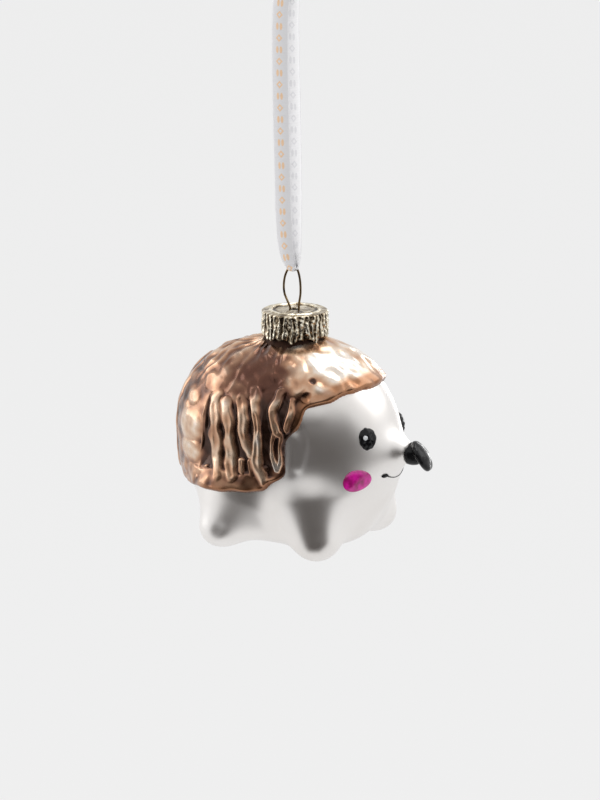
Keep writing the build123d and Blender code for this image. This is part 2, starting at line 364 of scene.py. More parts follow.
def enamel(name, dark, light, lump_scale, gloss):
    """Thick glossy enamel laid on with a brush."""
    nodes = new_material(name)
    lumps = nodes.noise(lump_scale, 2.0)
    return nodes.paint({
        "Base Color": nodes.ramp(lumps, [(0.35, dark), (0.68, light)]),
        "Roughness": nodes.spread(lumps, 0.06, 0.17), "Specular IOR Level": 0.5 * gloss,
        "Coat Weight": max(0.0, 1.2 * gloss - 0.6), "Coat Roughness": 0.05,
        "Normal": nodes.bump(lumps, 0.00012, 0.5),
    })


def cap_metal():
    """Champagne-gold plate, darker in the creases of its crimps and paler on their crests, as painted shade
    and painted highlight.
    """
    nodes = new_material("cap_metal")
    grain = nodes.noise(900.0)
    return nodes.paint({
        "Base Color": nodes.ramp(nodes.stirred(nodes.values("relief"), grain, 0.5), [
            (0.08, (0.075, 0.055, 0.038)), (0.30, (0.26, 0.20, 0.13)), (0.54, (0.62, 0.54, 0.40)),
            (0.82, (0.93, 0.87, 0.73)),
        ]),
        "Roughness": nodes.spread(grain, 0.16, 0.34), "Metallic": 1.0,
        "Normal": nodes.bump(grain, 0.00006, 0.4),
    })


def wire_metal():
    """Aged brass wire, browned in patches."""
    nodes = new_material("wire_metal")
    patches = nodes.noise(380.0)
    return nodes.paint({
        "Base Color": nodes.ramp(patches, [
            (0.35, (0.06, 0.038, 0.02)), (0.55, (0.20, 0.135, 0.065)), (0.75, (0.40, 0.30, 0.16)),
        ]),
        "Roughness": nodes.spread(patches, 0.22, 0.42), "Metallic": 1.0,
    })


def gold_marks(nodes, off_middle, along):
    """A row of small hollow diamonds with a pair of dots between them; along counts the pairs."""
    place_in_pair = nodes.math("FRACT", along)
    diamond_place, diamond_half_width, diamond_half_length, hollow_share = 0.25, 0.20, 0.17, 0.46
    dots_place, dot_off_middle, dot_half_width, dot_half_length = 0.75, 0.11, 0.08, 0.15
    off_diamond = nodes.off(place_in_pair, diamond_place)
    from_centre = nodes.math("ADD", nodes.math("DIVIDE", off_middle, diamond_half_width),
                             nodes.math("DIVIDE", off_diamond, diamond_half_length))
    diamond = nodes.math("MULTIPLY", nodes.math("LESS_THAN", from_centre, 1.0),
                         nodes.math("GREATER_THAN", from_centre, hollow_share))
    dot_shares = (nodes.math("DIVIDE", nodes.off(off_middle, dot_off_middle), dot_half_width),
                  nodes.math("DIVIDE", nodes.off(place_in_pair, dots_place), dot_half_length))
    squares = [nodes.math("POWER", share, 2.0) for share in dot_shares]
    return nodes.math("MAXIMUM", diamond, nodes.math("LESS_THAN", nodes.math("ADD", *squares), 1.0))


def satin(name, shaded_face_colour, back_colour, pattern):
    """Ribbon satin: fine cross ribs, a selvedge along each edge, and a gold pattern on its face; its face is
    coloured darker than its back as painted shade.
    """
    nodes = new_material(name)
    place = nodes.add("UVMap", uv_map="ribbon").outputs["UV"]
    parts = nodes.set(nodes.add("SeparateXYZ"), {"Vector": place})
    across, along = parts.outputs["X"], parts.outputs["Y"]
    face = nodes.values("face")
    off_middle = nodes.off(across, 0.5)
    selvedge = nodes.math("GREATER_THAN", off_middle, 0.46)
    # painted shade: the face side darker than the back
    cloth = nodes.mix(face, back_colour, shaded_face_colour)
    edged = nodes.mix(nodes.math("MULTIPLY", selvedge, 0.35), cloth, (0.92, 0.92, 0.93))
    threads = nodes.math("SINE", nodes.math("MULTIPLY", along, 2 * math.pi * threads_per_motif))
    colour = nodes.mix(nodes.spread(threads, 0.0, 0.08), edged, (0.45, 0.45, 0.48))
    if pattern:
        marks = gold_marks(nodes, off_middle, along)
        printed = nodes.mix(nodes.math("MULTIPLY", marks, 0.70), colour, (0.78, 0.44, 0.17))
        shown_through = nodes.mix(nodes.math("MULTIPLY", marks, 0.22), colour, (0.42, 0.42, 0.46))
        colour = nodes.mix(face, shown_through, printed)
    return nodes.paint({
        "Base Color": colour, "Roughness": 0.42, "Sheen Weight": 0.35, "Sheen Roughness": 0.35,
        "Specular IOR Level": 0.6, "Anisotropic": 0.5, "Normal": nodes.bump(threads, 0.00003, 0.5),
    })


threads_per_motif = 14
# the face colour is darker than the back's as painted shade
ribbon_shaded_face_colour = (0.64, 0.635, 0.65)
ribbon_back_colour = (0.96, 0.955, 0.965)
pearl = pearl_glass()
copper = copper_lacquer("copper_lacquer", 1.0)
dull_copper = copper_lacquer("copper_lacquer_dull", 0.0)
black = enamel("black_enamel", (0.003, 0.003, 0.0035), (0.010, 0.010, 0.011), 900.0, 0.5)
magenta = enamel("magenta_enamel", (0.20, 0.002, 0.075), (0.58, 0.008, 0.29), 420.0, 1.0)
# painted glint for the eyes, a pale dot in place of a lamp's reflection
glint_paint = enamel("glint_enamel", (0.34, 0.35, 0.36), (0.52, 0.53, 0.54), 900.0, 0.6)
cap_gold = cap_metal()
aged_brass = wire_metal()
printed_satin = satin("printed_satin", ribbon_shaded_face_colour, ribbon_back_colour, True)
plain_satin = satin("plain_satin", ribbon_shaded_face_colour, ribbon_back_colour, False)


# Ribbon: two strands of one satin ribbon, folded under the crown of the wire loop

ribbon_width, ribbon_thickness = 4.8, 0.2
motif_length = 6.2
# both routes run up from the fold, in millimetres from the frame's origin
front_route = [
    (-0.6, 0.0, -82.9), (-0.8, -0.9, -82.9), (-1.4, -0.9, -81.6), (-2.6, -0.9, -78.0), (-3.2, -0.9, -70.0),
    (-3.5, -0.9, -57.0), (-3.9, -0.9, -42.0), (-4.2, -0.9, -27.0), (-4.2, -0.9, -13.0), (-3.0, -0.9, -5.0),
    (-1.2, -0.7, 0.4),
]
back_route = [
    (-0.6, 0.0, -82.9), (-0.4, 0.9, -82.9), (-0.2, 0.9, -81.6), (-0.3, 0.9, -78.0), (-0.4, 0.9, -70.0),
    (-0.5, 0.9, -57.0), (-0.8, 0.9, -42.0), (-1.2, 0.9, -27.0), (-1.4, 0.9, -13.0), (-0.8, 0.9, -5.0),
    (0.2, 0.7, 0.4),
]
# how far a band is cupped across, in radians each side of its middle, by its distance from the fold
strand_cups = [0.0, 1.2, 2.6, 4.5, 9.0, 18.0, 40.0, 72.0, 79.0, 84.0], \
    [2.35, 2.10, 1.45, 0.95, 0.65, 0.45, 0.35, 0.40, 0.80, 1.60]
tail_cups = [0, 4, 9, 14], [1.9, 1.1, 0.6, 0.45]


def add_band(name, line, side, width, cups, rows=260, columns=25, start_turn=0.0):
    """A thin closed ribbon along a line, cupped across its width; side 1 or -1 says which way it faces."""
    points, along = evenly(line, rows)
    tangents = directions_along(points)
    across = np.tile(AHEAD, (rows, 1))
    across -= tangents * np.sum(across * tangents, axis=1, keepdims=True)
    across /= np.linalg.norm(across, axis=1, keepdims=True)
    outwards = -side * np.cross(across, tangents)
    spread = np.interp(along / MM, *cups)
    shares = np.linspace(-1.0, 1.0, columns)
    turn = spread[:, None] * shares[None, :]
    bend = (width / 2) / spread[:, None] * MM
    sideways = np.sin(turn) * bend
    sinking = (1 - np.cos(turn)) * bend
    facing = np.cos(turn)[..., None] * outwards[:, None] + np.sin(turn)[..., None] * across[:, None]
    middle = points[:, None] + sideways[..., None] * across[:, None] - sinking[..., None] * outwards[:, None]
    half = facing * ribbon_thickness * MM / 2
    loop = np.concatenate([middle + half, (middle - half)[:, ::-1]], axis=1)
    around = 2 * columns
    piece = add_mesh(name, loop.reshape(-1, 3), grid_faces(rows, around, round_columns=True), printed_satin)
    face_outwards(piece, [range(first, first + around) for first in (0, (rows - 1) * around)])
    across_shares = np.concatenate([(shares + 1) / 2, (shares[::-1] + 1) / 2])
    add_values(piece, face=np.tile(np.repeat([1.0, 0.0], columns), rows))
    layer = piece.data.uv_layers.new(name="ribbon")
    place = np.stack([np.tile(across_shares, rows),
                      np.repeat(along / MM / motif_length + start_turn, around)], -1)
    corners = np.zeros(len(piece.data.loops), int)
    piece.data.loops.foreach_get("vertex_index", corners)
    layer.data.foreach_set("uv", place[corners].astype(np.float32).ravel())
    return piece


front_line = spline_points(np.array(front_route) * MM)
back_line = spline_points(np.array(back_route) * MM)
ribbon_front_band = add_band("ribbon_front_band", front_line, -1, ribbon_width, strand_cups)
ribbon_back_band = add_band("ribbon_back_band", back_line, 1, ribbon_width, strand_cups, start_turn=0.5)
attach(ribbon_front_band, "ribbon")
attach(ribbon_back_band, "ribbon")
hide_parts("ribbon_front")
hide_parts("ribbon_back")


# Glass form: the same formula as the solid, below zero inside and zero on the skin

back_x, back_z = -4.8, 30.5
back_half_length, back_half_width = 27.9, 20.3
back_rise, back_depth = 22.2, 25.0
back_top_power, back_under_power = 2.1, 3.2
head_x, head_z = 7.2, 26.5
head_half_length, head_half_width, head_half_height = 23.6, 18.8, 26.6
skirt_x, skirt_z = 1.6, 10.2
skirt_half_length, skirt_half_width, skirt_half_height = 18.4, 18.6, 9.2
skirt_power = 4.0
front_foot_x, rear_foot_x, foot_y, foot_radius = 15.6, -13.6, 17.2, 4.4
leg_top_z, leg_top_radius, leg_lean = 13.0, 7.0, 3.0
snout_root, snout_root_radius = (24.0, 0.0, 25.8), 7.6
snout_tip, snout_tip_radius = (31.8, 0.0, 27.2), 3.3
body_blend, leg_blend, snout_blend = 6.0, 8.0, 5.5
glass_wall = 1.0
neck_radius, neck_wall, neck_top = 7.6, 0.9, 61.9


def melt(first, second, blend):
    near = np.maximum(blend - np.abs(first - second), 0) / blend
    return np.minimum(first, second) - near * near * blend / 4


def round_back(x, y, z):
    above = z > back_z
    lift = np.where(above, (z - back_z) / back_rise, (back_z - z) / back_depth)
    power = np.where(above, back_top_power, back_under_power)
    level = np.sqrt((x - back_x) ** 2 / back_half_length**2 + y**2 / back_half_width**2)
    return ((level**power + lift**power) ** (1 / power) - 1) * back_half_width


def head(x, y, z):
    along, up = x - head_x, z - head_z
    once = np.sqrt((along / head_half_length) ** 2 + (y / head_half_width) ** 2
                   + (up / head_half_height) ** 2)
    twice = np.sqrt((along / head_half_length**2) ** 2 + (y / head_half_width**2) ** 2
                    + (up / head_half_height**2) ** 2)
    return once * (once - 1) / np.maximum(twice, 1 / head_half_height**2)


def skirt(x, y, z):
    shares = (np.abs((x - skirt_x) / skirt_half_length) ** skirt_power
              + np.abs(y / skirt_half_width) ** skirt_power
              + np.abs((z - skirt_z) / skirt_half_height) ** skirt_power)
    return (shares ** (1 / skirt_power) - 1) * skirt_half_height


def tapered_rod(x, y, z, start, end, start_radius, end_radius):
    run = [last - first for first, last in zip(start, end)]
    gaps = (x - start[0], y - start[1], z - start[2])
    share = sum(gap * part for gap, part in zip(gaps, run)) / sum(part * part for part in run)
    share = unit(share)
    distance = np.sqrt(sum((gap - share * part) ** 2 for gap, part in zip(gaps, run)))
    return distance - start_radius - share * (end_radius - start_radius)


def leg(x, y, z, foot_x):
    lean = math.copysign(leg_lean, foot_x)
    return tapered_rod(x, np.abs(y), z, (foot_x, foot_y, foot_radius),
                       (foot_x - lean, foot_y - leg_lean, leg_top_z), foot_radius, leg_top_radius)


def glass_form(points):
    x, y, z = points[..., 0], points[..., 1], points[..., 2]
    legs = melt(melt(skirt(x, y, z), leg(x, y, z, front_foot_x), leg_blend),
                leg(x, y, z, rear_foot_x), leg_blend)
    trunk = melt(melt(round_back(x, y, z), head(x, y, z), body_blend), legs, body_blend)
    return melt(trunk, tapered_rod(x, y, z, snout_root, snout_tip, snout_root_radius, snout_tip_radius),
                snout_blend)


def facing_of(points, step=0.02):
    """The direction that the skin faces at each point."""
    sides = [glass_form(points + shift) - glass_form(points - shift) for shift in step * np.eye(3)]
    facing = np.stack(sides, -1)
    return facing / np.linalg.norm(facing, axis=-1, keepdims=True)


def skin_from(start, directions, longest=70.0):
    """Where rays from inside the glass meet its skin."""
    near = np.zeros(directions.shape[:-1])
    far = np.full(directions.shape[:-1], longest)
    for _ in range(24):
        middle = (near + far) / 2
        outside = glass_form(start + middle[..., None] * directions) > 0
        far = np.where(outside, middle, far)
        near = np.where(outside, near, middle)
    return start + ((near + far) / 2)[..., None] * directions


# Places on the skin are given as seen from the middle of the back: a compass turn in degrees, 0 at the
# tail, 90 on the right flank and 180 at the nose, and a lift in degrees over the level
coat_heart = np.array([back_x, 0.0, head_z])
body_heart = np.array([4.0, 0.0, 25.0])


def skin_places(places):
    return skin_from(coat_heart, direction(*np.transpose(places)) * (-1, -1, 1))


def both_flanks(entries):
    """Each entry, then the same one on the other flank; its first part is a list of places."""
    for places, *figures in entries:
        yield places, *figures
        yield [(-compass, lift) for compass, lift in places], *figures


def line_distance(points, line, signed=False):
    """Distance of each point from a line of straight runs; signed, it is over 0 left of a flat line."""
    best = np.full(len(points), 1e9)
    sign = np.ones(len(points))
    for start, end in zip(line[:-1], line[1:]):
        run = end - start
        share = unit((points - start) @ run / (run @ run))
        gap = points - start - share[:, None] * run
        size = np.einsum("ij,ij->i", gap, gap)
        if signed:
            sign = np.where(size < best, np.sign(run[0] * gap[:, 1] - run[1] * gap[:, 0]), sign)
        best = np.minimum(best, size)
    return sign * np.sqrt(best)


def place_distance(points, places):
    """Distance of each point from the first of some places on the skin."""
    return np.linalg.norm(points - skin_places(places)[0], axis=1)


def route_distance(points, places, per_run=6):
    """Distance of each point from a smooth line through places on the skin."""
    count = max(2, (len(places) - 1) * per_run)
    return line_distance(points, evenly(spline_points(skin_places(places), per_run), count)[0])


def dome(distance, radius):
    """1 over the middle of a bump, falling to 0 at its radius."""
    return np.clip(1 - (distance / radius) ** 2, 0, None)


def ball(subdivisions):
    """Directions spread evenly all round, and the triangles between them."""
    mesh = bmesh.new()
    bmesh.ops.create_icosphere(mesh, subdivisions=subdivisions, radius=1.0)
    rays = np.array([vertex.co[:] for vertex in mesh.verts])
    faces = np.array([[vertex.index for vertex in face.verts] for face in mesh.faces])
    mesh.free()
    return rays / np.linalg.norm(rays, axis=1, keepdims=True), faces


def kept_part(faces, kept):
    """The kept points that are used, and the faces whose points are all kept."""
    faces = faces[kept[faces].all(axis=1)]
    used = np.unique(faces)
    places = np.full(len(kept), -1)
    places[used] = np.arange(len(used))
    return used, places[faces]


def in_neck(skin, radius):
    return (np.hypot(skin[:, 0], skin[:, 1]) < radius) & (skin[:, 2] > head_z)


# Body: the glass shell with its ears, dimples and open neck

ear_marks = [
    # places along the ear, its front groove and its top, how far each stands out, and its half width
    ([(125.0, -6.0), (125.5, 4.0), (125.0, 13.0)], 0.26, 2.4),
    ([(129.5, -4.0), (132.5, 4.0), (133.0, 13.0), (131.0, 18.0)], -0.30, 1.7),
    ([(134.0, 27.0), (140.0, 25.0)], 0.10, 3.0),
]
dimple_depth = 0.35
dimples = [
    # both ends on the left side, in millimetres, and the radius: the rear foot, then the mouth's corner
    (np.array([[-12.4, 22.2, 3.6], [-11.0, 22.6, 5.6]]), 1.7),
    (np.array([[29.8, 5.5, 21.2], [30.2, 4.6, 21.0]]), 1.5),
]
neck_profile = [
    # radius and height, up the bore and down the outside to the flared foot inside the shell
    (6.7, neck_top - 0.3), (6.95, neck_top), (7.35, neck_top), (neck_radius, neck_top - 0.3),
    (neck_radius, 56.0), (7.7, 54.2), (8.0, 52.9), (8.7, 51.7), (8.7, 50.6), (7.1, 50.2), (6.7, 50.6),
    (6.7, 56.0),
]


def body_relief(points):
    """How far the skin stands out or in at each point, in millimetres."""
    relief = 0.07 * waves(points, 16.0, 3)
    for places, height, half_width in both_flanks(ear_marks):
        relief += height * dome(route_distance(points, places), half_width)
    for ends, radius in dimples:
        for mirror in (-1, 1):
            relief -= dimple_depth * dome(line_distance(points, ends * (1, mirror, 1)), radius)
    return relief


def lathe(profile, count=96):
    """A ring of points turned round the neck's axis from a closed profile of (radius, height)."""
    rows = [radius * circle(count) + height * UP for radius, height in profile]
    return np.concatenate(rows), grid_faces(len(profile), count, round_rows=True, round_columns=True)


def add_glass():
    rays, faces = ball(8)
    skin = skin_from(body_heart, rays)
    facing = facing_of(skin)
    used, faces = kept_part(faces, ~in_neck(skin, neck_radius - neck_wall / 2))
    points = skin[used] + body_relief(skin[used])[:, None] * facing[used]
    piece = add_mesh("glass_shell", to_frame(points), faces, pearl)
    ease(piece, 50)
    thicken(piece, glass_wall)
    ring, ring_faces = lathe(neck_profile)
    neck = add_mesh("glass_neck", to_frame(ring), ring_faces, pearl)
    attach(piece, "ornament")
    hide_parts("glass_body")
    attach(neck, "ornament")


add_glass()


# Quill coat: copper lacquer over quills that run down from the crown of the back

coat_base, coat_least, coat_lip, coat_wall = 0.6, 0.2, 0.9, 0.45
coat_border = [
    (-40.0, 13.2), (-18.7, 15.6), (-9.1, 16.4), (1.5, 16.9), (4.4, 20.0), (7.2, 21.6), (8.0, 23.4),
    (7.7, 27.8), (7.7, 31.3), (9.1, 33.6), (11.1, 35.0), (11.8, 37.9), (12.2, 40.2), (14.2, 40.8),
    (17.1, 41.5), (19.6, 43.0), (22.6, 44.0), (24.4, 44.5), (40.0, 46.6),
]
flank_quills = [
    # places down each quill, half its width and its height
    ([(63, 35), (66, 26), (67.5, 15), (68, 4), (70, -6), (73, -16)], 2.60, 1.20),
    ([(74, 35), (77, 28), (80, 17), (80.5, 6), (81.5, -5), (84, -16)], 2.35, 1.25),
    ([(87, 38), (90, 33), (91, 25), (92, 17), (94, 9), (98, 3)], 2.05, 1.15),
    ([(99, 44), (100, 38), (101, 30), (102.5, 23), (104, 15), (103.5, 7), (103, -3), (105, -10), (110, -16)],
     1.90, 1.30),
    ([(121, 41), (117.5, 37), (115, 31), (115, 24), (117, 18)], 1.60, 1.20),
    ([(115.5, 18), (114, 8), (115.2, -1), (117.5, -8)], 0.85, 1.10),
    ([(119.8, 17), (120.2, 8), (120, -1), (118.5, -8)], 0.75, 1.00),
    ([(129, 35), (126.5, 28), (124, 20)], 1.35, 1.00),
    ([(90, -4), (91, -12)], 1.35, 1.05),
    ([(98, -4), (100, -12)], 1.15, 0.95),
]
rear_quills = [
    ([(21, 44), (20, 32), (18, 18), (17, 4), (18, -10), (18, -17)], 1.75, 1.10),
    ([(6, 46), (7, 30), (5, 14), (6, 0), (6, -17)], 1.70, 1.25),
]
front_locks = [
    ([(-170, 63), (-171, 52), (-169, 42), (-173, 34)], 1.15, 0.75),
    ([(170, 60), (177, 50), (179, 41), (179, 33)], 1.10, 0.75),
    ([(159, 60), (164, 50), (169, 41), (171, 34)], 1.25, 0.60),
    ([(150, 62), (154, 51), (160, 42), (163, 36)], 1.45, 0.50),
    ([(136, 34.5), (148, 33), (157, 33.5), (166, 33.5), (178, 33.5)], 1.35, 0.60),
]
lumps = [
    # place, radius across, radius up and height
    ([(42, 12)], 7.0, 5.6, 1.25), ([(43, -3)], 6.6, 4.4, 1.15), ([(40, 29)], 4.4, 3.0, 0.95),
    ([(158, 51)], 3.0, 2.8, 0.50), ([(143, 56)], 2.8, 2.2, 0.40), ([(128, 46)], 2.4, 3.0, 0.50),
    ([(8, 60)], 1.6, 1.6, 0.75), ([(60, 62)], 3.4, 2.4, 0.35), ([(84, 62)], 3.0, 2.6, 0.30),
    ([(52, 50)], 3.0, 2.8, 0.40),
]
rims = [
    # thin raised arcs round the large soft lump at the rear
    ([(54, 27), (56.5, 14), (56, 2), (52, -6), (43, -10.5), (34, -9)], 0.75, 0.90),
    ([(35, -13), (49, -13.5), (61, -12.5)], 0.75, 0.80),
]
pits = [([(143, 43)], 1.3), ([(137, 35)], 1.3)]
pale_patches = [
    # place, radius and how much paler; the two at the front are painted highlights
    ([(158, 48)], 6.5, 0.42), ([(168, 44)], 5.0, 0.30), ([(117.5, 2)], 4.2, 0.34), ([(118, -8)], 3.6, 0.30),
]
red_patches = [
    # place, radius and how strongly the reddish brown covers it
    ([(99, 56)], 8.5, 0.92), ([(82, 50)], 7.0, 0.70), ([(118, 50)], 5.0, 0.85), ([(117, 42)], 4.4, 0.75),
    ([(66, 58)], 6.0, 0.45),
]
coat_border_line = spline_points([(x, z, 0.0) for x, z in coat_border], 8)[:, :2]


relief_blend, relief_floor = 0.18, -0.2
quill_wander, quill_crest_power, quill_hollow_depth, quill_hollow_share = 0.34, 2.6, 0.26, 0.34
knob_count, knob_lift, knob_heights, knob_radii = 23, 1.25, (0.55, 1.0), (0.95, 1.45)
knob_trail_reach, knob_trail_swell = 33.0, 30.0
# where the coat stands thick, in degrees: over the valleys' tops, behind, below and over the brow
valley_turns, valley_tops = [0, 55, 70, 95, 102, 118, 124, 130, 180], [50, 34, 33, 38, 46, 46, 40, 36, 30]
rear_turn, rear_share = 59.5, 0.72
low_lift, low_share = -12.0, 0.85
brow_turn, brow_lift = 131, 20
mass_height, pit_depth = 0.92, 0.35
fold_height, fold_spacing, fold_foot, smooth_radius = 0.42, 15, 36, 6.5


def in_degrees(points):
    """The compass turn and the lift of each point, alike on both flanks."""
    gap = points - coat_heart
    compass = np.degrees(np.arctan2(np.abs(gap[:, 1]), -gap[:, 0]))
    return compass, np.degrees(np.arctan2(gap[:, 2], np.hypot(gap[:, 0], gap[:, 1])))


def lump_height(points, places, across, up):
    """A soft rounded lump on the skin, seen from outside as an oval."""
    middle = skin_places(places)[0]
    facing = facing_of(middle[None])[0]
    side, rise = side_and_rise(facing)
    gap = points - middle
    far = np.sqrt((gap @ side / across) ** 2 + (gap @ rise / up) ** 2 + (gap @ facing / 6.0) ** 2)
    return soft_step((1.3 - far) / 0.9)


def coat_edge(points):
    """Distance inside the coat's border, seen from the side, with a slightly wandering line."""
    return line_distance(points[:, [0, 2]], coat_border_line, signed=True) + 0.22 * waves(points, 5.0, 11)


def border_knobs():
    """Each knob of a row along the lower border of both flanks: its place, its height and its radius."""
    low = coat_border_line[(coat_border_line[:, 0] < 6.0) & (coat_border_line[:, 0] > -32.0)]
    draw = np.random.default_rng(5)
    for side in (-1, 1):
        swell = knob_trail_swell * np.sqrt(np.maximum(0.0, 1 - (low[:, 0] / knob_trail_reach) ** 2)) + 0.5
        rays = np.array([[x - back_x, side * y, z + knob_lift - head_z] for (x, z), y in zip(low, swell)])
        trail = skin_from(coat_heart, rays / np.linalg.norm(rays, axis=1, keepdims=True))
        knobs, _ = evenly(trail, knob_count)
        for knob in knobs + draw.uniform(-0.3, 0.3, knobs.shape):
            yield knob, draw.uniform(*knob_heights), draw.uniform(*knob_radii)


def coat_relief(points):
    """Height of the quill relief over the coat's base, in millimetres, and its darkened pits."""
    relief = np.zeros(len(points))
    bent = points + quill_wander * np.stack([waves(points, 4.2, seed) for seed in (31, 32, 33)], -1)
    cores = unit(0.5 + 0.9 * waves(points, 5.0, 35))
    thinned = 1 + 0.20 * waves(points, 4.0, 36)

    def raise_to(height):
        nonlocal relief
        relief = -melt(-relief, -height, relief_blend)

    for places, half_width, height in both_flanks(flank_quills + rear_quills + front_locks):
        share = route_distance(bent, places) / (half_width * thinned)
        hollow = quill_hollow_depth * cores * np.exp(-(share / quill_hollow_share) ** 2)
        crest = unit(1 - unit(share) ** quill_crest_power) - hollow
        raise_to(height * np.where(share < 1, crest, relief_floor))
    for places, half_width, height in both_flanks(rims):
        raise_to(height * dome(route_distance(bent, places), half_width))
    for places, across, up, height in both_flanks(lumps):
        raise_to(height * lump_height(points, places, across, up))
    for knob, height, radius in border_knobs():
        raise_to(height * dome(np.linalg.norm(points - knob, axis=1), radius))
    # the coat stands thick over the top, over the rear, along its lower border and over the brow
    compass, lift = in_degrees(points)
    ragged = 4.0 * waves(points, 7.0, 44)
    mass = np.maximum.reduce([
        unit((lift + ragged - np.interp(compass, valley_turns, valley_tops) + 3) / 8),
        unit((rear_turn + 0.5 * ragged - compass) / 4) * rear_share,
        unit((low_lift + 0.35 * ragged - lift) / 2.5) * low_share,
        unit((compass + ragged - brow_turn) / 6) * unit((lift - brow_lift) / 8),
    ])
    raise_to(mass_height * mass + 0.16 * waves(points, 3.0, 45) * mass)
    # folds run up to the neck over the top and the rear, and fade in the large red patch
    folded = unit((lift - fold_foot) / 14) * np.clip((150 - compass) / 30, 0.12, 1)
    smooth = np.exp(-(place_distance(points, red_patches[0][0]) / smooth_radius) ** 2)
    wander = 0.55 * waves(points, 11.0, 41) + 0.2 * waves(points, 5.0, 42)
    strands = np.abs(np.sin(np.pi * (compass / fold_spacing + wander)))
    relief += (fold_height * (1 - strands) + 0.08 * waves(points, 3.4, 43)) * folded * (1 - smooth)
    dark = np.zeros(len(points))
    for places, radius in both_flanks(pits):
        dark = np.maximum(dark, dome(place_distance(bent, places), radius))
    return relief - pit_depth * dark, dark


def add_collar():
    """The coat's lacquer where it runs up the neck under the cap, darker the higher it runs as painted shadow
    under the cap.
    """
    foot, top, inner = 50.9, 56.6, neck_radius - 0.05
    profile = [(10.8, foot), (10.0, foot + 1.0), (8.9, foot + 2.0), (8.1, foot + 2.9), (7.85, foot + 4.0),
               (7.72, top), (inner, top), (inner, foot)]
    ring, faces = lathe(profile, 160)
    ring[:, :2] *= (1 + 0.012 * waves(ring, 3.0, 47))[:, None]
    collar = add_mesh("quill_coat_collar", to_frame(ring), faces, dull_copper)
    none = np.zeros(len(ring))
    # painted shadow: the colour falls to near black as it runs up under the cap
    add_values(collar, relief=np.clip(0.34 - 0.16 * (ring[:, 2] - foot), -0.2, 1), red_patch=none, amber=none)
    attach(collar, "ornament")


def add_coat():
    rays, faces = ball(8)
    skin = skin_from(coat_heart, rays)
    edge = coat_edge(skin)
    used, faces = kept_part(faces, (edge > -coat_lip) & ~in_neck(skin, neck_radius - 0.4))
    skin, edge = skin[used], edge[used]
    relief, dark = coat_relief(skin)
    compass, lift = in_degrees(skin)
    ripple = 0.06 * waves(skin, 4.5, 21) + 0.025 * waves(skin, 2.0, 22)
    height = np.maximum(coat_base + relief + ripple, coat_least)
    lip = unit(edge / coat_lip)
    height = np.where(edge > 0, height * np.sqrt(1 - (1 - lip) ** 2), 0.6 * edge)
    points = skin + (height + body_relief(skin) * 0.3)[:, None] * facing_of(skin)
    piece = add_mesh("quill_coat_shell", to_frame(points), faces, copper)
    # colour factor of the coat: crests paler and valleys darker as painted highlight and painted shade, the
    # front and a little of the rear paler as painted highlight, darker over the top of the back and down its
    # lip
    painted_highlight = 0.15 * unit((compass - 122) / 26) + 0.03 * unit((50 - compass) / 12)
    darker_over_top = 0.20 * unit((lift - 34) / 10) * unit((134 - compass) / 12)
    mottled = 0.11 * waves(skin, 7.0, 23) + 0.07 * waves(skin, 2.6, 24)
    # pale patches; the front ones are painted highlights
    for places, radius, share in both_flanks(pale_patches):
        mottled += share * dome(place_distance(skin, places) * (1 + 0.25 * waves(skin, 5.0, 26)), radius)
    lit = -0.10 + 0.76 * (relief + 0.8 * ripple) + painted_highlight - darker_over_top + mottled
    red = np.zeros(len(skin))
    for places, radius, share in both_flanks(red_patches):
        away = place_distance(skin, places) * (1 + 0.22 * waves(skin, 5.0, 25))
        red = np.maximum(red, share * unit(1.6 * dome(away, radius)))
    brim = unit((3.4 - edge) / 1.0) * unit((skin[:, 0] - 9.0) / 3.0)
    hem = unit((1.5 - edge) / 0.6) * unit((23.0 - skin[:, 2]) / 3.0)
    add_values(piece, relief=unit(lit - 0.5 * dark) * (0.5 + 0.5 * lip), red_patch=red,
               amber=np.clip(0.75 * brim + 0.5 * hem, 0, 0.8))
    thicken(piece, coat_wall)
    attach(piece, "ornament")
    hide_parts("quill_coat")


add_coat()
add_collar()


# Raised enamel: eyes, cheeks, mouth and nose

# the x and z of each bead's middle, then half its width, half its height and how far it stands proud
bead_rim_depth, bead_under_depth = 0.06, 0.45
eye_place, eye_size = (26.9, 32.2), (2.4, 3.1, 1.1)
# the pale dot on each eye is a painted glint in place of a lamp's reflection
eye_glint_place, eye_glint_size = (26.3, 32.52), (0.86, 0.86, 1.38)
cheek_place, cheek_size = (25.1, 21.0), (4.1, 2.95, 0.95)
# the dark spot at each mouth corner is painted shade in the dimple there
mouth_dimple_shade_place, mouth_dimple_shade_size = (29.95, 21.3), (1.15, 0.5, 0.22)


